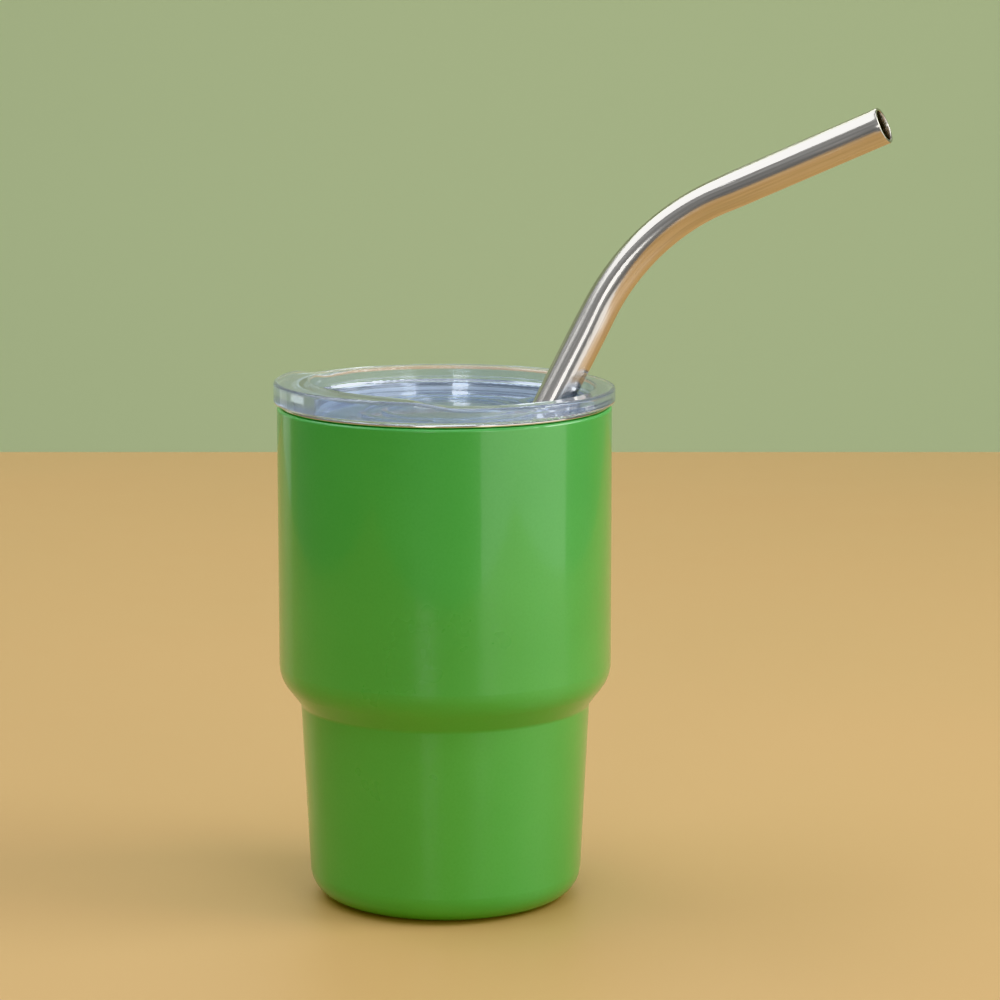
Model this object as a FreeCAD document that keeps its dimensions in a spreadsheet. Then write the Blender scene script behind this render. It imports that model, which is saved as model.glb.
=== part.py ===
"""Small double-wall steel tumbler with a stepped body, a clear push-in lid and a bent steel straw.

The frame: origin at the centre of the foot, on the surface it stands on, +Z up. The straw hole
lies on +X, the straw leans in the XZ plane, and the raised drinking lip of the lid is near -X.
"""
import FreeCAD, Part
import math
import os
import re

import Sketcher

TOLERANCE = 1e-3

# alias, plain number (millimetres or degrees), what it drives
DRIVING = (
    ("body_radius", 27.1, "upper body, outside"),
    ("body_top", 80.95, "top of the painted crown"),
    ("crown_round", 0.45, "outside edge of the crown"),
    ("shoulder_height", 36.75, "corner between the upper wall and the shoulder cone"),
    ("shoulder_round", 6.0, "outside radius of that corner"),
    ("waist_radius", 23.62, "corner between the shoulder cone and the lower wall"),
    ("waist_height", 32.2, "height of that corner"),
    ("waist_round", 0.8, "outside radius of that corner"),
    ("foot_radius", 22.03, "lower wall carried down to the floor"),
    ("foot_round", 4.8, "outside radius of the foot"),
    ("foot_opening", 15.5, "inner edge of the foot"),
    ("shell_wall", 0.5, "sheet of the outer shell"),
    ("vacuum_gap", 1.5, "space between shell and liner"),
    ("liner_wall", 0.4, "sheet of the liner"),
    ("collar_top", 81.2, "top edge of the shell inside the mouth bead"),
    ("rim_top", 81.65, "top of the mouth bead"),
    ("bead_edge", 26.65, "mouth bead, outside"),
    ("bead_round", 0.33, "rounding of the mouth bead"),
    ("liner_floor", 6.0, "underside of the liner's floor"),
    ("liner_floor_round", 4.0, "outside radius of the liner's bottom corner"),
    ("weld_radius", 13.0, "where the liner's base disc is welded in"),
    ("liner_dish", 0.3, "height of the pressed step in the liner's base disc"),
    ("dish_radius", 10.1, "radius of that step"),
    ("base_wall", 0.5, "sheet of the base pan"),
    ("base_flange", 17.1, "outer edge of the base pan"),
    ("panel_radius", 14.6, "flat panel of the base pan"),
    ("panel_height", 1.5, "how far the panel stands above the floor"),
    ("dimple_radius", 6.0, "central dimple"),
    ("dimple_depth", 1.2, "depth of the dimple"),
    ("vent_radius", 0.9, "evacuation hole"),
    ("bead_radius", 2.8, "solder bead"),
    ("bead_drop", 0.75, "how far the bead hangs below the dimple's roof"),
    ("cover_wall", 0.3, "sheet of the dimple cover"),
    ("getter_distance", 10.6, "getter's distance from the axis"),
    ("getter_radius", 2.4, "getter pill"),
    ("getter_height", 1.5, "getter pill"),
    ("clip_wall", 0.2, "sheet of the getter clip"),
    ("clip_width", 3.0, "width of the getter clip"),
    ("clip_foot", 1.2, "length of each welded foot"),
    ("lid_gap", 0.02, "running clearance between lid and mouth bead"),
    ("flange_radius", 27.65, "lid flange, outside"),
    ("rim_height", 84.2, "top of the lid's rim"),
    ("lip_height", 85.2, "top of the drinking lip"),
    ("lip_turn", 12.5, "lip's middle, turned from -X"),
    ("lip_full", 18.0, "lip is full height beyond this distance from the middle"),
    ("lip_start", 9.5, "lip starts to rise at this distance from the middle"),
    ("land_shift", 4.0, "centre of the arc that bounds the lip's land"),
    ("land_arc", 25.3, "radius of that arc"),
    ("land_blend", 4.0, "rounding where the two arcs meet"),
    ("step_radius", 24.3, "upper part of the well"),
    ("step_height", 82.6, "ledge between the well's upper and lower parts"),
    ("well_radius", 22.9, "lower part of the well"),
    ("well_floor", 80.4, "floor of the well"),
    ("floor_wall", 1.2, "thickness of the well's floor"),
    ("ridge_outer", 14.6, "outer drip ridge on the floor"),
    ("ridge_inner", 11.0, "inner drip ridge on the floor"),
    ("ridge_width", 0.9, "width of a drip ridge"),
    ("ridge_height", 0.35, "height of a drip ridge"),
    ("skirt_radius", 24.0, "skirt that enters the mouth, outside"),
    ("skirt_bore", 22.7, "skirt, inside"),
    ("skirt_bottom", 76.5, "lower edge of the skirt"),
    ("groove_radius", 23.5, "bottom of the seal groove"),
    ("groove_low", 77.8, "lower wall of the seal groove"),
    ("groove_high", 80.9, "upper wall of the seal groove"),
    ("rim_round", 0.6, "lid's outer top edge"),
    ("inner_round", 0.45, "lid's inner top edges"),
    ("flange_round", 0.5, "lid's outer bottom edge"),
    ("seal_gap", 0.04, "running clearance of the seal in its groove and in the mouth"),
    ("fin_wall", 0.55, "thickness of a seal fin"),
    ("hole_distance", 17.93, "straw hole's distance from the axis"),
    ("hole_radius", 4.0, "straw hole"),
    ("boss_radius", 5.3, "raised ring around the straw hole"),
    ("boss_height", 0.6, "height of that ring"),
    ("straw_radius", 3.0, "straw, outside"),
    ("straw_wall", 0.5, "straw's sheet"),
    ("straw_lower", 92.6, "straight lower length"),
    ("straw_bend_radius", 35.4, "bend, on the centre line"),
    ("straw_bend", 45.0, "angle of the bend"),
    ("straw_upper", 29.6, "straight upper length"),
    ("straw_lean", 28.1, "lean of the lower length from the vertical"),
    ("straw_turn", -49.1, "turn of the bend about the lower length"),
    ("straw_dip", 72.5, "length of straw below the height where it is placed"),
    ("straw_place", 16.7, "its distance from the axis at that height"),
    ("straw_level", 77.8, "that height"),
    ("straw_edge", 0.15, "rounding of the straw's ends"),
)
SIZE = {alias: value for alias, value, _ in DRIVING}

doc = FreeCAD.newDocument("mini_tumbler")
sheet = doc.addObject("Spreadsheet::Sheet", "dims")
for row, (alias, value, note) in enumerate(DRIVING, start=1):
    sheet.set(f"A{row}", note)
    sheet.set(f"B{row}", str(value))
    sheet.setAlias(f"B{row}", alias)
doc.recompute()


def from_sheet(words):
    """Turn words such as 'body_radius - shell_wall' into an expression on the sheet's cells."""
    return re.sub(r"\b([a-z][a-z_]+)\b(?!\()", r"dims.\1", words)


def new_body(name):
    body = doc.addObject("PartDesign::Body", name)
    body.Label = name
    return body


def new_sketch(body, name, role, height=None):
    """A sketch on one of the body's own origin planes, lifted off it by an expression."""
    sketch = body.newObject("Sketcher::SketchObject", name)
    support = next(item for item in body.Origin.OriginFeatures if item.Role == role)
    sketch.AttachmentSupport = [(support, "")]
    sketch.MapMode = "FlatFace"
    if height:
        sketch.setExpression(".AttachmentOffset.Base.z", from_sheet(height))
    return sketch


def drive(sketch, kind, first, name, words, start):
    """Add one named distance or radius, which starts at its drawn value, and bind it to the sheet."""
    number = sketch.addConstraint(Sketcher.Constraint(kind, *first, start))
    sketch.renameConstraint(number, name)
    sketch.setExpression("Constraints." + name, from_sheet(words))


def place_point(sketch, geometry, end, name, across, up):
    """Hold one point of a sketch at (across, up), each given in the sheet's words."""
    drawn = sketch.getPoint(geometry, end)
    if across == "0":
        sketch.addConstraint(Sketcher.Constraint("PointOnObject", geometry, end, -2))
    else:
        drive(sketch, "DistanceX", (-1, 1, geometry, end), name + "_across", across, drawn.x)
    if up == "0":
        sketch.addConstraint(Sketcher.Constraint("PointOnObject", geometry, end, -1))
    else:
        drive(sketch, "DistanceY", (-1, 1, geometry, end), name + "_up", up, drawn.y)


def outline(sketch, corners):
    """Closed outline of straight sides through corners of (name, across, up)."""
    count = len(corners)
    ring = [2 * math.pi * k / count for k in range(count)]
    points = [FreeCAD.Vector(50 + 20 * math.cos(a), 50 + 20 * math.sin(a), 0) for a in ring]
    for k in range(count):
        sketch.addGeometry(Part.LineSegment(points[k], points[(k + 1) % count]))
    for k in range(count):
        sketch.addConstraint(Sketcher.Constraint("Coincident", k, 2, (k + 1) % count, 1))
    for k, (name, across, up) in enumerate(corners):
        place_point(sketch, k, 1, name, across, up)


def circle(sketch, name, radius, across="0", up="0"):
    drawn = Part.Circle(FreeCAD.Vector(1, 1, 0), FreeCAD.Vector(0, 0, 1), 5)
    number = sketch.addGeometry(drawn)
    drive(sketch, "Radius", (number,), name + "_radius", radius, drawn.Radius)
    place_point(sketch, number, 3, name, across, up)


def round_edges(body, name, edges, radius):
    """Fillet edges of the body's last feature with a radius from the sheet."""
    if not edges:
        raise RuntimeError(f"{body.Label}: no edges for {name}")
    fillet = body.newObject("PartDesign::Fillet", name)
    fillet.Base = (body.Tip if body.Tip != fillet else fillet.BaseFeature, edges)
    fillet.setExpression("Radius", from_sheet(radius))
    body.Tip = fillet
    doc.recompute()
    return fillet


def ring_edges(shape, points):
    """Names of the circular edges about +Z whose radius and height match one of the points."""
    names = []
    for number, edge in enumerate(shape.Edges, start=1):
        curve = edge.Curve
        if not isinstance(curve, Part.Circle):
            continue
        for point in points:
            if abs(curve.Radius - point.x) < TOLERANCE and abs(curve.Center.z - point.y) < TOLERANCE:
                names.append(f"Edge{number}")
    return names


def turned(name, corners, rounds=()):
    """A body turned about +Z from an outline, with rounds of (name, radius, corner names)."""
    body = new_body(name)
    sketch = new_sketch(body, name + "_outline", "XZ_Plane")
    outline(sketch, corners)
    turn = body.newObject("PartDesign::Revolution", name + "_turned")
    turn.Profile = sketch
    turn.ReferenceAxis = (sketch, ["V_Axis"])
    turn.Angle = 360
    doc.recompute()
    order = [corner[0] for corner in corners]
    for round_name, radius, wanted in rounds:
        points = [sketch.Geometry[order.index(corner)].StartPoint for corner in wanted]
        round_edges(body, f"{name}_{round_name}", ring_edges(body.Tip.Shape, points), radius)
    return body


def cut_away(body, name, sketch, length, up=False, both_ways=False):
    """Pocket a sketch and make sure that it took something away."""
    before = body.Tip.Shape.Volume
    pocket = body.newObject("PartDesign::Pocket", name)
    pocket.Profile = sketch
    pocket.setExpression("Length", from_sheet(length))
    pocket.Reversed = up
    pocket.Midplane = both_ways
    doc.recompute()
    if pocket.Shape.Volume > before - TOLERANCE:
        raise RuntimeError(f"{name} cuts nothing")
    return pocket


def pad_on(body, name, sketch, length, both_ways=False):
    pad = body.newObject("PartDesign::Pad", name)
    pad.Profile = sketch
    pad.setExpression("Length", from_sheet(length))
    pad.Midplane = both_ways
    doc.recompute()
    return pad


# How far a corner of the shoulder cone rises for each millimetre that the sheet moves inwards.
RUN = "(body_radius - waist_radius)"
DROP = "(shoulder_height - waist_height)"
RISE = f"((hypot({RUN}; {DROP}) - {DROP}) / {RUN})"
LINER_OUT = "(shell_wall + vacuum_gap)"
LINER_IN = "(shell_wall + vacuum_gap + liner_wall)"
LOWER_TAPER = "((waist_radius - foot_radius) / waist_height)"


def make_outer_shell():
    neck_in = "body_radius - shell_wall - vacuum_gap"
    neck_out = "body_radius - vacuum_gap"
    return turned("outer_shell", (
        ("neck_out", neck_out, "collar_top"),
        ("collar_out", neck_out, "body_top"),
        ("crown_out", "body_radius", "body_top"),
        ("shoulder_out", "body_radius", "shoulder_height"),
        ("waist_out", "waist_radius", "waist_height"),
        ("foot_out", "foot_radius", "0"),
        ("hem_low", "foot_opening", "0"),
        ("hem_high", "foot_opening", "shell_wall"),
        ("foot_in", "foot_radius - shell_wall", "shell_wall"),
        ("waist_in", "waist_radius - shell_wall", f"waist_height + shell_wall * {RISE}"),
        ("shoulder_in", "body_radius - shell_wall", f"shoulder_height + shell_wall * {RISE}"),
        ("crown_in", "body_radius - shell_wall", "body_top - shell_wall"),
        ("collar_in", neck_in, "body_top - shell_wall"),
        ("neck_in", neck_in, "collar_top"),
    ), (
        ("crown", "crown_round", ("crown_out",)),
        ("shoulder", "shoulder_round", ("shoulder_out",)),
        ("shoulder_inside", "shoulder_round - shell_wall", ("shoulder_in",)),
        ("waist", "waist_round", ("waist_out",)),
        ("waist_inside", "waist_round + shell_wall", ("waist_in",)),
        ("foot", "foot_round", ("foot_out",)),
        ("foot_inside", "foot_round - shell_wall", ("foot_in",)),
    ))


def make_inner_liner():
    sleeve = f"body_radius - {LINER_OUT}"
    bore = f"body_radius - {LINER_IN}"
    low_out = f"foot_radius + liner_floor * {LOWER_TAPER} - {LINER_OUT}"
    low_in = f"foot_radius + liner_floor * {LOWER_TAPER} - {LINER_IN}"
    return turned("inner_liner", (
        ("bead_low", "bead_edge", "body_top + lid_gap"),
        ("bead_out", "bead_edge", "rim_top"),
        ("bead_in", bore, "rim_top"),
        ("shoulder_in", bore, f"shoulder_height + {LINER_IN} * {RISE}"),
        ("waist_in", f"waist_radius - {LINER_IN}", f"waist_height + {LINER_IN} * {RISE}"),
        ("floor_in", low_in, "liner_floor + liner_wall"),
        ("weld_high", "weld_radius", "liner_floor + liner_wall"),
        ("weld_low", "weld_radius", "liner_floor"),
        ("floor_out", low_out, "liner_floor"),
        ("waist_out", f"waist_radius - {LINER_OUT}", f"waist_height + {LINER_OUT} * {RISE}"),
        ("shoulder_out", sleeve, f"shoulder_height + {LINER_OUT} * {RISE}"),
        ("sleeve_top", sleeve, "collar_top"),
        ("hem_roof", "body_radius - vacuum_gap", "collar_top"),
        ("hem_low", "body_radius - vacuum_gap", "body_top + lid_gap"),
    ), (
        ("bead", "bead_round", ("bead_low", "bead_out", "bead_in")),
        ("shoulder", f"shoulder_round - {LINER_OUT}", ("shoulder_out",)),
        ("shoulder_inside", f"shoulder_round - {LINER_IN}", ("shoulder_in",)),
        ("waist", f"waist_round + {LINER_OUT}", ("waist_out",)),
        ("waist_inside", f"waist_round + {LINER_IN}", ("waist_in",)),
        ("floor", "liner_floor_round", ("floor_out",)),
        ("floor_inside", "liner_floor_round - liner_wall", ("floor_in",)),
    ))


def make_liner_base():
    """Disc welded edge to edge into the liner's foot, with a shallow pressed step."""
    return turned("liner_base", (
        ("weld_low", "weld_radius", "liner_floor"),
        ("weld_high", "weld_radius", "liner_floor + liner_wall"),
        ("step_high_out", "dish_radius + liner_wall", "liner_floor + liner_wall"),
        ("step_high_in", "dish_radius", "liner_floor + liner_wall + liner_dish"),
        ("middle_high", "0", "liner_floor + liner_wall + liner_dish"),
        ("middle_low", "0", "liner_floor + liner_dish"),
        ("step_low_in", "dish_radius + liner_wall / 2", "liner_floor + liner_dish"),
        ("step_low_out", "dish_radius + 3 * liner_wall / 2", "liner_floor"),
    ))


def make_outer_base():
    """Pan welded on the inside of the foot: a flange, a raised panel and a deeper dimple."""
    roof = "panel_height + dimple_depth"
    return turned("outer_base", (
        ("flange_low", "base_flange", "shell_wall"),
        ("flange_high", "base_flange", "shell_wall + base_wall"),
        ("step_low", "panel_radius + base_wall", "shell_wall + base_wall"),
        ("panel_edge_high", "panel_radius", "panel_height + base_wall"),
        ("dimple_edge_high", "dimple_radius + base_wall", "panel_height + base_wall"),
        ("roof_edge_high", "dimple_radius + base_wall", f"{roof} + base_wall"),
        ("vent_high", "vent_radius", f"{roof} + base_wall"),
        ("vent_low", "vent_radius", roof),
        ("roof_edge_low", "dimple_radius", roof),
        ("dimple_edge_low", "dimple_radius", "panel_height"),
        ("panel_edge_low", "panel_radius - base_wall / 2", "panel_height"),
        ("flange_step", "foot_opening - base_wall", "shell_wall"),
    ), (
        ("roof", "base_wall", ("roof_edge_high",)),
    ))


def make_seal_bead():
    """Solder that fills the evacuation hole and hangs under it as a flat drop."""
    roof = "panel_height + dimple_depth"
    return turned("seal_bead", (
        ("plug_top", "0", f"{roof} + base_wall"),
        ("plug_edge", "vent_radius", f"{roof} + base_wall"),
        ("plug_root", "vent_radius", roof),
        ("drop_edge", "bead_radius", roof),
        ("drop_low", "bead_radius - bead_drop", f"{roof} - bead_drop"),
        ("drop_middle", "0", f"{roof} - bead_drop"),
    ), (
        ("drop", "bead_drop * 0.6", ("drop_low",)),
    ))


def make_dimple_cover():
    return turned("dimple_cover", (
        ("low_middle", "0", "panel_height"),
        ("low_edge", "dimple_radius", "panel_height"),
        ("high_edge", "dimple_radius", "panel_height + cover_wall"),
        ("high_middle", "0", "panel_height + cover_wall"),
    ), (
        ("edge", "cover_wall / 2", ("low_edge",)),
    ))


def make_getter_pill():
    body = new_body("getter_pill")
    sketch = new_sketch(body, "getter_circle", "XY_Plane", "panel_height + base_wall")
    circle(sketch, "getter", "getter_radius", "getter_distance")
    pad_on(body, "getter_pad", sketch, "getter_height")
    top = FreeCAD.Vector(SIZE["getter_radius"],
                         SIZE["panel_height"] + SIZE["base_wall"] + SIZE["getter_height"], 0)
    round_edges(body, "getter_edge", ring_edges(body.Tip.Shape, [top]), "clip_wall")
    body.Placement.Rotation = FreeCAD.Rotation(FreeCAD.Vector(0, 0, 1), 180)
    return body


def make_getter_clip():
    """Strip bent over the getter pill, with a foot welded to the panel on each side."""
    body = new_body("getter_clip")
    sketch = new_sketch(body, "clip_outline", "XZ_Plane")
    panel = "panel_height + base_wall"
    top = f"{panel} + getter_height"
    near_in, near_out = "getter_distance - getter_radius", "getter_distance - getter_radius - clip_wall"
    far_in, far_out = "getter_distance + getter_radius", "getter_distance + getter_radius + clip_wall"
    outline(sketch, (
        ("near_toe_low", f"{near_out} - clip_foot", panel),
        ("near_heel_low", near_in, panel),
        ("near_roof", near_in, top),
        ("far_roof", far_in, top),
        ("far_heel_low", far_in, panel),
        ("far_toe_low", f"{far_out} + clip_foot", panel),
        ("far_toe_high", f"{far_out} + clip_foot", f"{panel} + clip_wall"),
        ("far_heel_high", far_out, f"{panel} + clip_wall"),
        ("far_shoulder", far_out, f"{top} + clip_wall"),
        ("near_shoulder", near_out, f"{top} + clip_wall"),
        ("near_heel_high", near_out, f"{panel} + clip_wall"),
        ("near_toe_high", f"{near_out} - clip_foot", f"{panel} + clip_wall"),
    ))
    pad_on(body, "clip_pad", sketch, "clip_width", both_ways=True)
    body.Placement.Rotation = FreeCAD.Rotation(FreeCAD.Vector(0, 0, 1), 180)
    return body


def lens_sketch(body, name, height, radius):
    """Region inside a circle about the axis and inside the wider arc that bounds the lip's land."""
    sketch = new_sketch(body, name, "XY_Plane", height)
    shift, arc, inner = SIZE["land_shift"], SIZE["land_arc"], SIZE[radius]
    meet_x = (inner ** 2 - arc ** 2 + shift ** 2) / (2 * shift)
    start = math.atan2(math.sqrt(inner ** 2 - meet_x ** 2), meet_x)
    land_start = math.atan2(math.sqrt(inner ** 2 - meet_x ** 2), meet_x - shift)
    up = FreeCAD.Vector(0, 0, 1)
    well = Part.Circle(FreeCAD.Vector(0, 0, 0), up, inner)
    land = Part.Circle(FreeCAD.Vector(shift, 0, 0), up, arc)
    sketch.addGeometry(Part.ArcOfCircle(well, -start, start))
    sketch.addGeometry(Part.ArcOfCircle(land, land_start, 2 * math.pi - land_start))
    sketch.addConstraint(Sketcher.Constraint("Coincident", 0, 2, 1, 1))
    sketch.addConstraint(Sketcher.Constraint("Coincident", 1, 2, 0, 1))
    sketch.addConstraint(Sketcher.Constraint("Coincident", 0, 3, -1, 1))
    sketch.addConstraint(Sketcher.Constraint("PointOnObject", 1, 3, -1))
    drive(sketch, "Radius", (0,), "well", radius, inner)
    drive(sketch, "Radius", (1,), "land", "land_arc", arc)
    drive(sketch, "DistanceX", (-1, 1, 1, 3), "shift", "land_shift", shift)
    return sketch


def edge_points(edge):
    low, high = edge.ParameterRange
    return [edge.valueAt(low + (high - low) * step / 4) for step in range(5)]


def edges_where(shape, test):
    """Names of the edges at which every sampled point passes the test."""
    return [f"Edge{number}" for number, edge in enumerate(shape.Edges, start=1)
            if all(test(point) for point in edge_points(edge))]


def ramp_sketch(body):
    """Region above the rim and above the S-shaped ramp of two arcs that climbs to the lip."""
    sketch = new_sketch(body, "ramp_outline", "XZ_Plane")
    start, full = SIZE["lip_start"], SIZE["lip_full"]
    low, high = SIZE["rim_height"], SIZE["lip_height"]
    right, top = SIZE["flange_radius"] + 1, high + 1
    foot = FreeCAD.Vector(-start, low, 0)
    middle = FreeCAD.Vector(-(start + full) / 2, (low + high) / 2, 0)
    head = FreeCAD.Vector(-full, high, 0)
    radius = ((full - start) ** 2 + (high - low) ** 2) / (4 * (high - low))
    swing = math.asin((full - start) / 2 / radius)
    up = FreeCAD.Vector(0, 0, 1)
    foot_circle = Part.Circle(foot + FreeCAD.Vector(0, radius, 0), up, radius)
    head_circle = Part.Circle(head - FreeCAD.Vector(0, radius, 0), up, radius)
    sketch.addGeometry(Part.ArcOfCircle(foot_circle, -math.pi / 2 - swing, -math.pi / 2))
    sketch.addGeometry(Part.ArcOfCircle(head_circle, math.pi / 2 - swing, math.pi / 2))
    corners = [foot, FreeCAD.Vector(right, low, 0), FreeCAD.Vector(right, top, 0),
               FreeCAD.Vector(-full, top, 0), head]
    for first, second in zip(corners, corners[1:]):
        sketch.addGeometry(Part.LineSegment(first, second))
    for one, two in (((0, 2), (2, 1)), ((2, 2), (3, 1)), ((3, 2), (4, 1)), ((4, 2), (5, 1)),
                     ((5, 2), (1, 2)), ((1, 1), (0, 1))):
        sketch.addConstraint(Sketcher.Constraint("Coincident", *one, *two))
    half_way = "(rim_height + lip_height) / 2"
    place_point(sketch, 2, 1, "foot", "-lip_start", "rim_height")
    place_point(sketch, 3, 1, "right_low", "flange_radius + 1", "rim_height")
    place_point(sketch, 4, 1, "right_high", "flange_radius + 1", "lip_height + 1")
    place_point(sketch, 5, 1, "left_high", "-lip_full", "lip_height + 1")
    place_point(sketch, 1, 2, "head", "-lip_full", "lip_height")
    place_point(sketch, 0, 1, "middle", "-(lip_start + lip_full) / 2", half_way)
    drive(sketch, "DistanceX", (-1, 1, 0, 3), "foot_centre_across", "-lip_start", -start)
    drive(sketch, "DistanceX", (-1, 1, 1, 3), "head_centre_across", "-lip_full", -full)
    return sketch


def make_lid():
    """Flange and skirt turned in one, then the well, its wider upper step and the lip are cut."""
    body = turned("lid", (
        ("floor_low", "0", "well_floor - floor_wall"),
        ("skirt_root", "skirt_bore", "well_floor - floor_wall"),
        ("skirt_low_in", "skirt_bore", "skirt_bottom"),
        ("skirt_low_out", "skirt_radius", "skirt_bottom"),
        ("groove_low_out", "skirt_radius", "groove_low"),
        ("groove_low_in", "groove_radius", "groove_low"),
        ("groove_high_in", "groove_radius", "groove_high"),
        ("groove_high_out", "skirt_radius", "groove_high"),
        ("flange_root", "skirt_radius", "rim_top + lid_gap"),
        ("flange_low", "flange_radius", "rim_top + lid_gap"),
        ("flange_top", "flange_radius", "lip_height"),
        ("middle_top", "0", "lip_height"),
    ), (
        ("flange_edge", "flange_round", ("flange_low",)),
        ("skirt_edge", "flange_round / 2", ("skirt_low_in", "skirt_low_out")),
    ))

    well = lens_sketch(body, "well_outline", "well_floor", "well_radius")
    cut_away(body, "well", well, "lip_height - well_floor + 1", up=True)
    step = lens_sketch(body, "step_outline", "step_height", "step_radius")
    cut_away(body, "step", step, "lip_height - step_height + 1", up=True)

    ramp = ramp_sketch(body)
    cut_away(body, "ramp", ramp, "3 * flange_radius", both_ways=True)

    for label, radius in (("outer_ridge", "ridge_outer"), ("inner_ridge", "ridge_inner")):
        ring = new_sketch(body, label + "_outline", "XY_Plane", "well_floor")
        circle(ring, "outside", f"{radius} + ridge_width / 2")
        circle(ring, "inside", f"{radius} - ridge_width / 2")
        pad_on(body, label, ring, "ridge_height")

    boss = new_sketch(body, "boss_outline", "XY_Plane", "well_floor - floor_wall / 2")
    circle(boss, "boss", "boss_radius", "hole_distance * cos(lip_turn)",
           "-hole_distance * sin(lip_turn)")
    pad_on(body, "boss", boss, "boss_height + floor_wall / 2")
    hole = new_sketch(body, "hole_outline", "XY_Plane", "well_floor - 2 * floor_wall")
    circle(hole, "hole", "hole_radius", "hole_distance * cos(lip_turn)",
           "-hole_distance * sin(lip_turn)")
    cut_away(body, "straw_hole", hole, "4 * floor_wall", up=True)

    def on_circle(point, radius, shift=0.0):
        return abs(math.hypot(point.x - shift, point.y) - radius) < 0.01

    rim = SIZE["rim_height"] - TOLERANCE
    land_ends = edges_where(body.Tip.Shape, lambda p: on_circle(p, SIZE["land_arc"], SIZE["land_shift"])
                            and (on_circle(p, SIZE["well_radius"]) or on_circle(p, SIZE["step_radius"])))
    round_edges(body, "land_ends", land_ends, "land_blend")
    inner_top = edges_where(body.Tip.Shape, lambda p: p.z > rim
                            and math.hypot(p.x, p.y) < SIZE["step_radius"] + 0.01)
    round_edges(body, "rim_inner_edge", inner_top, "inner_round")
    outer_top = edges_where(body.Tip.Shape, lambda p: p.z > rim and on_circle(p, SIZE["flange_radius"]))
    round_edges(body, "rim_outer_edge", outer_top, "rim_round")
    body.Placement.Rotation = FreeCAD.Rotation(FreeCAD.Vector(0, 0, 1), SIZE["lip_turn"])
    return body


def make_lid_seal():
    """Ring that sits in the skirt's groove, with two fins that reach the liner."""
    inside = "groove_radius + seal_gap"
    band = "skirt_radius"
    tip = f"body_radius - {LINER_IN} - seal_gap"
    low = "groove_low + seal_gap"
    high = "groove_high - seal_gap"
    return turned("lid_seal", (
        ("inside_low", inside, low),
        ("band_low", band, low),
        ("low_fin_root", band, f"{low} + fin_wall"),
        ("low_fin_under", tip, f"{low} + 1.5 * fin_wall"),
        ("low_fin_over", tip, f"{low} + 2.2 * fin_wall"),
        ("low_fin_back", band, f"{low} + 2.2 * fin_wall"),
        ("high_fin_root", band, f"{high} - 2 * fin_wall"),
        ("high_fin_under", tip, f"{high} - 1.5 * fin_wall"),
        ("high_fin_over", tip, f"{high} - 0.8 * fin_wall"),
        ("high_fin_back", band, f"{high} - 0.8 * fin_wall"),
        ("band_high", band, high),
        ("inside_high", inside, high),
    ))


def make_straw():
    """Tube made upright along its own lower length, then leaned and turned into place."""
    body = new_body("straw")
    path = new_sketch(body, "straw_path", "XZ_Plane")
    lower, upper = SIZE["straw_lower"], SIZE["straw_upper"]
    radius, bend = SIZE["straw_bend_radius"], math.radians(SIZE["straw_bend"])
    start = FreeCAD.Vector(0, lower, 0)
    centre = FreeCAD.Vector(radius, lower, 0)
    end = FreeCAD.Vector(radius * (1 - math.cos(bend)), lower + radius * math.sin(bend), 0)
    tip = end + FreeCAD.Vector(math.sin(bend), math.cos(bend), 0) * upper
    path.addGeometry(Part.LineSegment(FreeCAD.Vector(0, 0, 0), start))
    path.addGeometry(Part.ArcOfCircle(Part.Circle(centre, FreeCAD.Vector(0, 0, 1), radius),
                                      math.pi - bend, math.pi))
    path.addGeometry(Part.LineSegment(end, tip))
    path.addConstraint(Sketcher.Constraint("Coincident", 0, 1, -1, 1))
    path.addConstraint(Sketcher.Constraint("PointOnObject", 0, 2, -2))
    path.addConstraint(Sketcher.Constraint("Tangent", 0, 2, 1, 2))
    path.addConstraint(Sketcher.Constraint("Tangent", 1, 1, 2, 1))
    drive(path, "DistanceY", (0, 1, 0, 2), "lower", "straw_lower", lower)
    drive(path, "Radius", (1,), "bend_radius", "straw_bend_radius", radius)
    place_point(path, 2, 2, "tip",
                "straw_bend_radius * (1 - cos(straw_bend)) + straw_upper * sin(straw_bend)",
                "straw_lower + straw_bend_radius * sin(straw_bend) + straw_upper * cos(straw_bend)")

    section = new_sketch(body, "straw_section", "XY_Plane")
    circle(section, "outside", "straw_radius")
    circle(section, "inside", "straw_radius - straw_wall")
    tube = body.newObject("PartDesign::AdditivePipe", "straw_tube")
    tube.Profile = section
    tube.Spine = (path, ["Edge1", "Edge2", "Edge3"])
    doc.recompute()
    rims = edges_where(tube.Shape, lambda p: abs(p.z) < TOLERANCE)
    across = tip - end
    normal = FreeCAD.Vector(across.x, 0, across.y).normalize()
    top = FreeCAD.Vector(tip.x, 0, tip.y)
    rims += edges_where(tube.Shape, lambda p: abs((p - top).dot(normal)) < TOLERANCE)
    round_edges(body, "straw_ends", rims, "straw_edge")

    lean = math.radians(SIZE["straw_lean"])
    foot = FreeCAD.Vector(SIZE["straw_place"] - SIZE["straw_dip"] * math.sin(lean), 0,
                          SIZE["straw_level"] - SIZE["straw_dip"] * math.cos(lean))
    turn = FreeCAD.Rotation(FreeCAD.Vector(0, 0, 1), SIZE["straw_turn"])
    tilt = FreeCAD.Rotation(FreeCAD.Vector(0, 1, 0), SIZE["straw_lean"])
    body.Placement = FreeCAD.Placement(foot, tilt * turn)
    return body


PIECES = [make() for make in (
    make_outer_shell, make_inner_liner, make_liner_base, make_outer_base, make_seal_bead,
    make_dimple_cover, make_getter_pill, make_getter_clip, make_lid, make_lid_seal, make_straw)]
doc.recompute()

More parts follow.
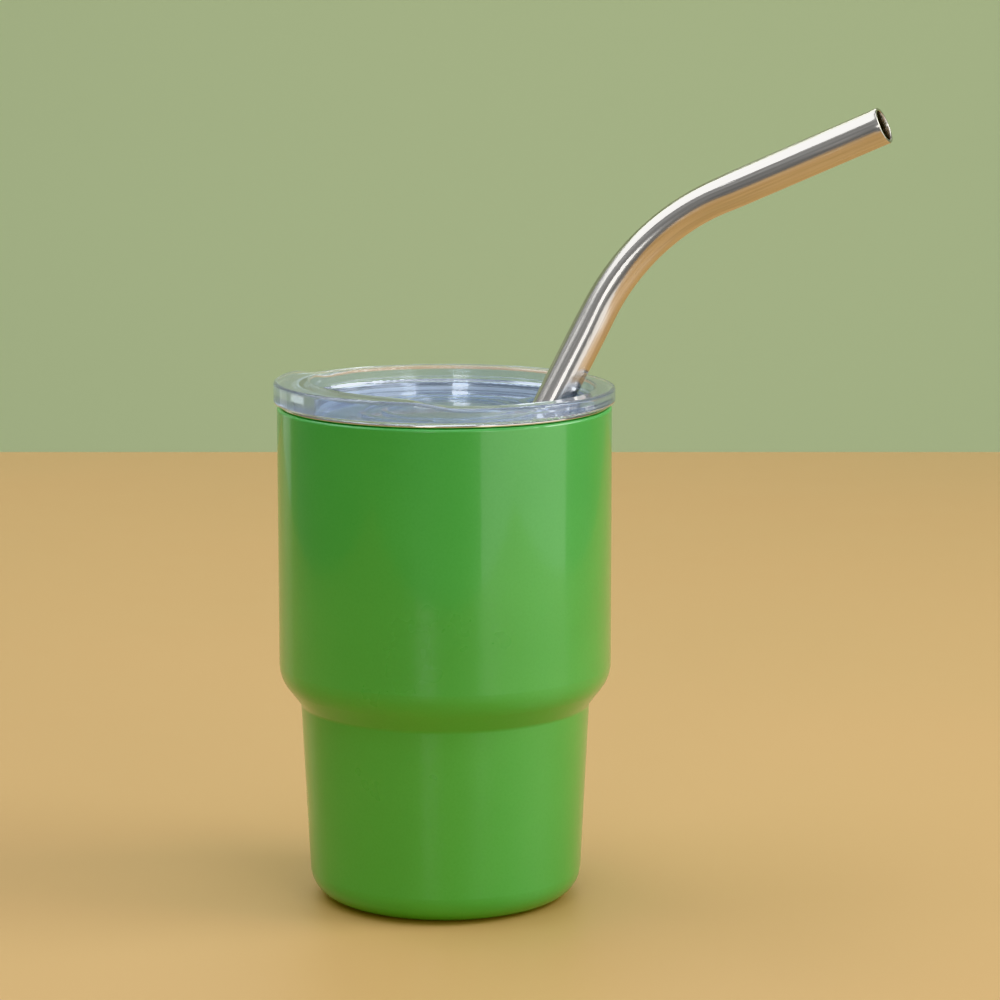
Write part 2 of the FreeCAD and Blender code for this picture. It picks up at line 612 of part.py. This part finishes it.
for item in doc.Objects:
    if {"Invalid", "Error"} & set(item.State):
        raise RuntimeError(f"{item.Label} failed: {item.State}")
os.makedirs("parts", exist_ok=True)
for piece in PIECES:
    shape = piece.Shape
    if shape.isNull() or not shape.isValid() or len(shape.Solids) != 1:
        raise RuntimeError(f"{piece.Label} is not one valid solid")
    shape.exportStep(f"parts/{piece.Label}.step")
    box = shape.BoundBox
    print(f"{piece.Label:14s} {shape.Volume:9.2f} mm3  "
          f"x {box.XMin:7.2f} {box.XMax:7.2f}  y {box.YMin:7.2f} {box.YMax:7.2f}  "
          f"z {box.ZMin:7.2f} {box.ZMax:7.2f}")
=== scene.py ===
"""Looks for the small straw tumbler: painted steel body, clear push-in lid, satin steel straw."""
import math

import bmesh
import bpy
from mathutils import Matrix, Vector


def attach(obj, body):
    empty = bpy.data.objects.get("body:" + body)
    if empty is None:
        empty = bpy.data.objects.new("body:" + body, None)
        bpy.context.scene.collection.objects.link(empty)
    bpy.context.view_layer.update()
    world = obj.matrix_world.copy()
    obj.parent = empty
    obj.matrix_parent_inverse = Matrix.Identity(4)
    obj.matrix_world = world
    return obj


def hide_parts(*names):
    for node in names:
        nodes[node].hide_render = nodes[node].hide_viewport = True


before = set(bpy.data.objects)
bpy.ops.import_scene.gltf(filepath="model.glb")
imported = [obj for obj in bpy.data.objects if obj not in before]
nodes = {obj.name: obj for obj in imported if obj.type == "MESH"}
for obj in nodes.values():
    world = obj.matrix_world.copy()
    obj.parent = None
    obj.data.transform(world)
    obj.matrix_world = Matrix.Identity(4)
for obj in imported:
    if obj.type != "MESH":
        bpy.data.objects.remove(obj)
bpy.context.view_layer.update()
scene = bpy.context.scene

MM = 0.001
MICRON = 0.000001

# ---------------------------------------------------------------- node helpers

# Most of a noise texture's values lie between these two.
NOISE_LOW, NOISE_HIGH = 0.3, 0.7
# A Mix node has inputs and an output for every data type: these are its colour sockets.
MIX_FIRST, MIX_SECOND, MIX_RESULT = 6, 7, 2


class Shader:
    """A material's node tree, built one line at a time."""

    def __init__(self, name):
        self.material = bpy.data.materials.new(name)
        self.material.use_nodes = True
        self.tree = self.material.node_tree
        self.principled = self.tree.nodes["Principled BSDF"]
        self.output = self.tree.nodes["Material Output"]

    def node(self, kind, settings=None, **inputs):
        """A new node. Its inputs are values or other nodes' sockets, named with _ for spaces, or
        numbered i0, i1 where a node has several inputs of one name."""
        made = self.tree.nodes.new(kind)
        for key, value in (settings or {}).items():
            setattr(made, key, value)
        for key, value in inputs.items():
            socket = int(key[1:]) if key[1:].isdigit() else key.replace("_", " ")
            self.put(made.inputs[socket], value)
        return made

    def put(self, socket, value):
        if isinstance(value, bpy.types.NodeSocket):
            self.tree.links.new(value, socket)
        else:
            socket.default_value = value

    def surface(self, **inputs):
        for key, value in inputs.items():
            self.put(self.principled.inputs[key.replace("_", " ")], value)

    def calc(self, operation, first, second=0.0):
        made = self.node("ShaderNodeMath", {"operation": operation}, i0=first, i1=second)
        return made.outputs[0]

    def noise(self, vector, scale, detail, roughness=0.5):
        made = self.node("ShaderNodeTexNoise", None, Vector=vector, Scale=scale, Detail=detail,
                         Roughness=roughness)
        return made.outputs["Fac"]

    def span(self, value, low, high, to_low, to_high):
        """Map low..high of a value to another range, held at both ends."""
        made = self.node("ShaderNodeMapRange", None, Value=value, From_Min=low, From_Max=high,
                         To_Min=to_low, To_Max=to_high)
        return made.outputs[0]

    def spread(self, noise, to_low, to_high):
        """Map the usual values of a noise to another range."""
        return self.span(noise, NOISE_LOW, NOISE_HIGH, to_low, to_high)

    def blend(self, factor, first, second):
        made = self.node("ShaderNodeMix", {"data_type": "RGBA"}, Factor=factor)
        self.put(made.inputs[MIX_FIRST], first)
        self.put(made.inputs[MIX_SECOND], second)
        return made.outputs[MIX_RESULT]

    def bump(self, height, depth, strength):
        made = self.node("ShaderNodeBump", None, Height=height, Distance=depth, Strength=strength)
        return made.outputs["Normal"]

    def place(self):
        return self.node("ShaderNodeTexCoord").outputs["Object"]

    def scaled(self, vector, scale):
        made = self.node("ShaderNodeVectorMath", {"operation": "MULTIPLY"}, i0=vector, i1=scale)
        return made.outputs[0]

    def turned(self, around):
        """(radius, height, angle * around) of a point, for marks that run round the axis."""
        x, y, z = self.node("ShaderNodeSeparateXYZ", None, Vector=self.place()).outputs
        square = self.calc("ADD", self.calc("MULTIPLY", x, x), self.calc("MULTIPLY", y, y))
        angle = self.calc("MULTIPLY", self.calc("ARCTAN2", y, x), around)
        made = self.node("ShaderNodeCombineXYZ", None, X=self.calc("SQRT", square), Y=z, Z=angle)
        return made.outputs[0]


def rgb(red, green, blue):
    return (red, green, blue, 1.0)


# ---------------------------------------------------------------- materials

# Noise scales are waves per metre: 45 gives patches some 20 mm across, 2600 a grain of 0.4 mm.
PIGMENT = rgb(0.03, 0.24, 0.03)
PIGMENT_SHARE = 0.10
LID_SHADOW = rgb(0.88, 0.91, 0.94)


def paint(name, light, dark, gloss=1.0):
    """Smooth glossy coat: faint orange peel, slow colour drift and fine pigment grain."""
    s = Shader(name)
    place = s.place()
    drift = s.noise(place, scale=45.0, detail=3.0)
    grain = s.noise(place, scale=2600.0, detail=2.0)
    peel = s.noise(place, scale=620.0, detail=1.0)
    smudge = s.noise(place, scale=28.0, detail=5.0, roughness=0.6)
    colour = s.blend(s.spread(drift, 0.0, 1.0), light, dark)
    colour = s.blend(s.span(grain, 0.4, 0.75, 0.0, PIGMENT_SHARE), colour, PIGMENT)
    grainy_peel = s.calc("ADD", peel, s.calc("MULTIPLY", grain, 0.12))
    s.surface(Base_Color=colour,
              Roughness=s.spread(smudge, 0.26 / gloss, 0.34 / gloss),
              Normal=s.bump(grainy_peel, depth=20 * MICRON, strength=0.5),
              Coat_Weight=0.62 * gloss,
              Coat_Roughness=s.spread(smudge, 0.05, 0.09),
              Coat_IOR=1.5,
              Coat_Normal=s.bump(peel, depth=20 * MICRON, strength=0.16))
    return s.material


def turned_steel(name, light, dark, roughness):
    """Stainless sheet with fine marks that run round the axis, and a few long scratches."""
    s = Shader(name)
    low, high = roughness
    around = s.scaled(s.turned(0.0012), (2200.0, 2200.0, 900.0))
    rings = s.noise(around, scale=3.0, detail=4.0, roughness=0.65)
    cloud = s.noise(s.place(), scale=90.0, detail=4.0)
    scratch = s.noise(s.scaled(s.place(), (260.0, 260.0, 5200.0)), scale=1.0, detail=1.0)
    height = s.calc("ADD", rings, s.span(scratch, 0.62, 0.7, 0.0, 0.5))
    s.surface(Base_Color=s.blend(s.spread(rings, 0.0, 1.0), dark, light),
              Metallic=1.0,
              Roughness=s.calc("ADD", s.spread(rings, low, high), s.spread(cloud, -0.02, 0.04)),
              Normal=s.bump(height, depth=4 * MICRON, strength=0.6))
    return s.material


def drawn_steel(name, light, dark):
    """Drawn and polished tube: hair lines along its length, broken by short deeper scratches.

    The mesh's "straight" attribute is a point's place on the unbent tube, with its length on Z.
    """
    s = Shader(name)
    along = s.node("ShaderNodeAttribute", {"attribute_name": "straight"}).outputs["Vector"]
    hair = s.noise(s.scaled(along, (2600.0, 2600.0, 34.0)), scale=1.0, detail=4.0, roughness=0.7)
    long_hair = s.noise(s.scaled(along, (1100.0, 1100.0, 9.0)), scale=1.0, detail=2.0)
    nick = s.noise(s.scaled(along, (1500.0, 1500.0, 190.0)), scale=1.0, detail=1.0)
    cloud = s.noise(s.scaled(along, (150.0, 150.0, 60.0)), scale=1.0, detail=3.0)
    height = s.calc("ADD", s.calc("MULTIPLY", hair, 0.6), long_hair)
    height = s.calc("SUBTRACT", height, s.span(nick, 0.66, 0.72, 0.0, 1.0))
    s.surface(Base_Color=s.blend(s.spread(hair, 0.0, 1.0), dark, light),
              Metallic=1.0,
              Roughness=s.calc("ADD", s.spread(hair, 0.14, 0.24),
                               s.span(cloud, 0.35, 0.65, -0.02, 0.05)),
              Normal=s.bump(height, depth=6 * MICRON, strength=0.7))
    return s.material


def clear_plastic(name, light, dark):
    """Clear moulded plastic with a cool haze, slight flow waviness and fine handling scuffs."""
    s = Shader(name)
    place = s.place()
    flow = s.noise(place, scale=130.0, detail=2.0)
    cloud = s.noise(s.scaled(place, (60.0, 60.0, 220.0)), scale=1.0, detail=3.0)
    scuffs = s.noise(s.scaled(place, (900.0, 140.0, 300.0)), scale=1.0, detail=3.0, roughness=0.7)
    s.surface(Base_Color=s.blend(s.spread(cloud, 0.0, 1.0), dark, light),
              Transmission_Weight=s.spread(cloud, 0.91, 0.95),
              IOR=1.49,
              Roughness=s.calc("ADD", s.span(scuffs, 0.5, 0.8, 0.02, 0.08),
                               s.spread(cloud, 0.0, 0.02)),
              Normal=s.bump(flow, depth=30 * MICRON, strength=0.35))
    clear = s.node("ShaderNodeBsdfTransparent", None, Color=LID_SHADOW)
    shadow_ray = s.node("ShaderNodeLightPath").outputs["Is Shadow Ray"]
    mixed = s.node("ShaderNodeMixShader", None, Fac=shadow_ray, i1=s.principled.outputs[0],
                   i2=clear.outputs[0])
    s.put(s.output.inputs["Surface"], mixed.outputs[0])
    return s.material


def silicone(name, light, dark):
    """Milky translucent silicone with a matt, faintly dusty skin."""
    s = Shader(name)
    dust = s.noise(s.place(), scale=1400.0, detail=3.0)
    cloud = s.noise(s.place(), scale=160.0, detail=2.0)
    s.surface(Base_Color=s.blend(s.spread(cloud, 0.0, 1.0), dark, light),
              Roughness=s.spread(dust, 0.38, 0.6),
              Transmission_Weight=0.35,
              IOR=1.41,
              Subsurface_Weight=0.3,
              Subsurface_Radius=(2 * MM, 2 * MM, 2 * MM),
              Normal=s.bump(dust, depth=10 * MICRON, strength=0.5))
    return s.material


def lumpy_metal(name, light, dark, scale, metallic, roughness):
    """Solder and sintered powder: lumpy, uneven grey."""
    s = Shader(name)
    low, high = roughness
    lumps = s.noise(s.place(), scale, detail=5.0, roughness=0.65)
    s.surface(Base_Color=s.blend(s.spread(lumps, 0.0, 1.0), dark, light),
              Metallic=metallic,
              Roughness=s.spread(lumps, low, high),
              Normal=s.bump(lumps, depth=50 * MICRON, strength=0.8))
    return s.material


def dress(names, material):
    for name in names:
        slots = nodes[name].data.materials
        slots.clear()
        slots.append(material)


dress(("outer_shell",),
      paint("green_powder_coat", rgb(0.094, 0.412, 0.090), rgb(0.084, 0.384, 0.082)))
dress(("outer_base", "dimple_cover"),
      paint("green_powder_coat_base", rgb(0.056, 0.345, 0.058), rgb(0.046, 0.30, 0.052),
            gloss=0.8))
dress(("inner_liner", "liner_base"),
      turned_steel("turned_steel", rgb(0.68, 0.66, 0.63), rgb(0.56, 0.54, 0.51),
                   roughness=(0.06, 0.14)))
dress(("getter_clip",),
      turned_steel("clip_steel", rgb(0.6, 0.58, 0.55), rgb(0.5, 0.48, 0.46),
                   roughness=(0.3, 0.45)))
dress(("seal_bead",),
      lumpy_metal("solder", rgb(0.6, 0.6, 0.59), rgb(0.4, 0.4, 0.39),
                  scale=900.0, metallic=0.9, roughness=(0.35, 0.6)))
dress(("getter_pill",),
      lumpy_metal("sintered_powder", rgb(0.26, 0.25, 0.24), rgb(0.13, 0.12, 0.12),
                  scale=1800.0, metallic=0.6, roughness=(0.6, 0.85)))
dress(("lid",),
      clear_plastic("clear_lid_plastic", rgb(0.79, 0.86, 0.96), rgb(0.68, 0.765, 0.90)))
dress(("lid_seal",),
      silicone("milky_silicone", rgb(0.88, 0.9, 0.9), rgb(0.78, 0.81, 0.82)))


# ---------------------------------------------------------------- the straw

# The tube has the CAD straw's own sizes and place: a lower length, a bend and an upper length.
STRAW_RADIUS = 3.0 * MM
STRAW_WALL = 0.5 * MM
STRAW_EDGE = 0.15 * MM
STRAW_LOWER = 92.6 * MM
STRAW_BEND_RADIUS = 35.4 * MM
STRAW_BEND = math.radians(45.0)
STRAW_ARC = STRAW_BEND_RADIUS * STRAW_BEND
STRAW_UPPER = 29.6 * MM
STRAW_LENGTH = STRAW_LOWER + STRAW_ARC + STRAW_UPPER
# It leans from upright with its bend turned about its own length. Its axis passes through
# STRAW_LEVEL, and its foot is STRAW_DIP further down that axis.
STRAW_LEAN = math.radians(28.1)
STRAW_TURN = math.radians(-49.1)
STRAW_LEVEL = Vector((16.7 * MM, 0.0, 77.8 * MM))
STRAW_DIP = 72.5 * MM
# Bending squeezes the tube in the bend's plane and widens it sideways by a part of that. Both
# fade out a little way into the straight lengths.
STRAW_SQUEEZE = 0.06
STRAW_WIDENING = 0.4
STRAW_FADE = 3 * MM
STRAW_AROUND = 72
STRAW_ALONG = 150
EDGE_ANGLES = [math.radians(angle) for angle in (90, 60, 30, 0)]


def straw_station(distance):
    """Centre and angle of the tube at a distance along it, in the plane of its bend."""
    if distance <= STRAW_LOWER:
        return Vector((0, 0, distance)), 0.0
    angle = min((distance - STRAW_LOWER) / STRAW_BEND_RADIUS, STRAW_BEND)
    centre = Vector((STRAW_BEND_RADIUS * (1 - math.cos(angle)), 0,
                     STRAW_LOWER + STRAW_BEND_RADIUS * math.sin(angle)))
    beyond = max(distance - STRAW_LOWER - STRAW_ARC, 0.0)
    return centre + Vector((math.sin(angle), 0, math.cos(angle))) * beyond, angle


def straw_squeeze(distance):
    """How much the tube is squeezed by bending: none on the straight lengths."""
    middle = STRAW_LOWER + STRAW_ARC / 2
    offset = abs(distance - middle) / (STRAW_ARC / 2 + STRAW_FADE)
    return 0.0 if offset >= 1 else STRAW_SQUEEZE * (1 - offset ** 4)


def straw_profile():
    """(distance, radius) of one closed loop: up the outside, over the top edge, down the bore."""
    bore_radius = STRAW_RADIUS - STRAW_WALL
    straight = STRAW_LENGTH - 2 * STRAW_EDGE
    steps = [k / STRAW_ALONG for k in range(1, STRAW_ALONG)]
    outside = [(STRAW_EDGE * (1 - math.sin(a)), STRAW_RADIUS - STRAW_EDGE * (1 - math.cos(a)))
               for a in EDGE_ANGLES]
    bore = [(STRAW_EDGE * (1 - math.sin(a)), bore_radius + STRAW_EDGE * (1 - math.cos(a)))
            for a in EDGE_ANGLES]
    return (outside
            + [(STRAW_EDGE + straight * step, STRAW_RADIUS) for step in steps]
            + [(STRAW_LENGTH - distance, radius) for distance, radius in reversed(outside)]
            + [(STRAW_LENGTH - distance, radius) for distance, radius in bore]
            + [(STRAW_LENGTH - STRAW_EDGE - straight * step, bore_radius) for step in steps]
            + list(reversed(bore)))


def make_straw():
    """The tube as one closed skin that keeps each point's place on the unbent tube."""
    lean = Matrix.Rotation(STRAW_LEAN, 4, "Y")
    foot = STRAW_LEVEL - (lean @ Vector((0, 0, 1))) * STRAW_DIP
    place = Matrix.Translation(foot) @ lean @ Matrix.Rotation(STRAW_TURN, 4, "Z")

    mesh = bpy.data.meshes.new("straw_tube")
    work = bmesh.new()
    straight = work.verts.layers.float_vector.new("straight")
    rings = []
    for distance, radius in straw_profile():
        centre, angle = straw_station(distance)
        squeeze = straw_squeeze(distance)
        outward = Vector((math.cos(angle), 0, -math.sin(angle))) * (1 - squeeze)
        sideways = Vector((0, 1, 0)) * (1 + squeeze * STRAW_WIDENING)
        ring = []
        for k in range(STRAW_AROUND):
            turn = 2 * math.pi * k / STRAW_AROUND
            across, side = radius * math.cos(turn), radius * math.sin(turn)
            vert = work.verts.new(place @ (centre + outward * across + sideways * side))
            vert[straight] = Vector((across, side, distance))
            ring.append(vert)
        rings.append(ring)
    for first, second in zip(rings, rings[1:] + rings[:1]):
        for k in range(STRAW_AROUND):
            after = (k + 1) % STRAW_AROUND
            face = work.faces.new((first[k], first[after], second[after], second[k]))
            face.smooth = True
    bmesh.ops.recalc_face_normals(work, faces=work.faces)
    work.to_mesh(mesh)
    work.free()
    straw = bpy.data.objects.new("straw_tube", mesh)
    scene.collection.objects.link(straw)
    mesh.materials.append(drawn_steel("drawn_steel", rgb(0.72, 0.695, 0.66),
                                      rgb(0.50, 0.475, 0.445)))
    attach(straw, "straw")
    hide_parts("straw")


make_straw()


# ---------------------------------------------------------------- camera

CAMERA_PLACE = Vector((-150.42, -557.12, 162.35)) * MM
CAMERA_PITCH = math.radians(9.536)
CAMERA_TURN = math.radians(-16.0)
CAMERA_LENS = 129.6
CAMERA_SENSOR = 36.0
CAMERA_NEAREST = 10 * MM

camera_data = bpy.data.cameras.new("camera")
camera_data.lens = CAMERA_LENS
camera_data.sensor_width = CAMERA_SENSOR
camera_data.clip_start = CAMERA_NEAREST
camera = bpy.data.objects.new("camera", camera_data)
camera.location = CAMERA_PLACE
camera.rotation_euler = (math.pi / 2 - CAMERA_PITCH, 0.0, CAMERA_TURN)
scene.collection.objects.link(camera)
scene.camera = camera


# ---------------------------------------------------------------- table and wall

# Metres to the camera's right, ahead of it and up, from the middle of the cup's foot. The table
# is small so that the low soft boxes past its edges still show in the gloss paint.
TABLE_SIDE = 0.32
TABLE_NEAR = -0.29
TABLE_FAR = 0.475
WALL_SIDE = 2.2
WALL_AHEAD = 1.25
WALL_FOOT = -0.8
WALL_TOP = 1.6


def flat_sheet(name, corners, material):
    """One flat rectangle of the set, its corners given to the camera's right, ahead and up."""
    turn = Matrix.Rotation(CAMERA_TURN, 4, "Z")
    mesh = bpy.data.meshes.new(name)
    mesh.from_pydata([turn @ Vector(corner) for corner in corners], [], [(0, 1, 2, 3)])
    made = bpy.data.objects.new(name, mesh)
    scene.collection.objects.link(made)
    mesh.materials.append(material)


def make_stage():
    """Pale satin table whose far edge shows behind the cup, and a plain wall beyond it."""
    top = Shader("table_top")
    fibre = top.noise(top.place(), scale=1500.0, detail=3.0)
    cloud = top.noise(top.place(), scale=9.0, detail=3.0)
    top.surface(Base_Color=rgb(0.62, 0.395, 0.18),
                Normal=top.bump(fibre, depth=20 * MICRON, strength=0.3),
                Roughness=top.spread(cloud, 0.36, 0.44))
    flat_sheet("table", [(-TABLE_SIDE, TABLE_NEAR, 0), (TABLE_SIDE, TABLE_NEAR, 0),
                         (TABLE_SIDE, TABLE_FAR, 0), (-TABLE_SIDE, TABLE_FAR, 0)], top.material)

    wall = Shader("wall_paint")
    stipple = wall.noise(wall.place(), scale=500.0, detail=2.0)
    wall.surface(Base_Color=rgb(0.72, 0.84, 0.47),
                 Roughness=0.8,
                 Normal=wall.bump(stipple, depth=100 * MICRON, strength=0.3))
    flat_sheet("wall", [(-WALL_SIDE, WALL_AHEAD, WALL_FOOT), (WALL_SIDE, WALL_AHEAD, WALL_FOOT),
                        (WALL_SIDE, WALL_AHEAD, WALL_TOP), (-WALL_SIDE, WALL_AHEAD, WALL_TOP)],
               wall.material)


make_stage()


# ---------------------------------------------------------------- light

MIDDLE = Vector((0.0, 0.0, 50 * MM))
RIM = Vector((0.0, 0.0, 83 * MM))
WHITE = (1.0, 1.0, 1.0)
WARM = (1.0, 0.965, 0.92)
WARM_WHITE = (1.0, 0.98, 0.95)
COOL = (0.96, 0.98, 1.0)

# Name, degrees to the camera's right and up as seen from the object, metres away, width and
# height in metres, watts, colour, and the point it faces. The small windows near the camera's
# own height give the lid's rim its bright spots.
SOFT_BOXES = (
    ("soft_right", 58, 12, 0.8, 1.1, 0.8, 3.4, WARM, MIDDLE),
    ("key_right", 82, 38, 0.8, 0.4, 0.3, 2.6, WARM_WHITE, MIDDLE),
    ("window_right", 30, 12, 0.9, 0.16, 0.16, 0.3, WHITE, RIM),
    ("window_front", -12, 11, 0.95, 0.2, 0.12, 0.8, WHITE, RIM),
    ("soft_left", -108, 52, 0.8, 0.9, 0.4, 2.7, COOL, MIDDLE),
    ("window_left", -136, 4, 0.8, 0.2, 0.4, 0.12, WHITE, MIDDLE),
    ("soft_top", 8, 78, 0.75, 0.3, 0.5, 0.9, WHITE, MIDDLE),
    ("soft_back", 178, 42, 0.9, 0.5, 0.12, 0.9, WHITE, RIM),
)


def area_light(name, azimuth, elevation, distance, width, height, power, colour, target):
    """One soft box, from its row of SOFT_BOXES."""
    turn = CAMERA_TURN + math.radians(azimuth)
    lift = math.radians(elevation)
    away = Vector((math.sin(turn) * math.cos(lift), -math.cos(turn) * math.cos(lift),
                   math.sin(lift)))
    lamp = bpy.data.lights.new(name, "AREA")
    lamp.shape = "RECTANGLE"
    lamp.size = width
    lamp.size_y = height
    lamp.energy = power
    lamp.color = colour
    made = bpy.data.objects.new(name, lamp)
    made.location = target + away * distance
    made.rotation_euler = away.to_track_quat("Z", "Y").to_euler()
    made.visible_camera = False
    scene.collection.objects.link(made)


for soft_box in SOFT_BOXES:
    area_light(*soft_box)

# The room's own light grows with how far up a direction points.
ROOM_COLOUR = rgb(0.86, 0.88, 0.9)
ROOM_RISE = {"From Min": -0.05, "From Max": 0.7, "To Min": 0.30, "To Max": 0.56}


def make_room():
    """Soft light from all round, stronger overhead than at the horizon."""
    world = bpy.data.worlds.new("studio")
    world.use_nodes = True
    tree = world.node_tree
    coordinate = tree.nodes.new("ShaderNodeTexCoord")
    direction = tree.nodes.new("ShaderNodeSeparateXYZ")
    rise = tree.nodes.new("ShaderNodeMapRange")
    background = tree.nodes["Background"]
    for socket, value in ROOM_RISE.items():
        rise.inputs[socket].default_value = value
    background.inputs["Color"].default_value = ROOM_COLOUR
    tree.links.new(coordinate.outputs["Generated"], direction.inputs[0])
    tree.links.new(direction.outputs["Z"], rise.inputs["Value"])
    tree.links.new(rise.outputs[0], background.inputs["Strength"])
    scene.world = world


make_room()
scene.view_settings.view_transform = "Khronos PBR Neutral"
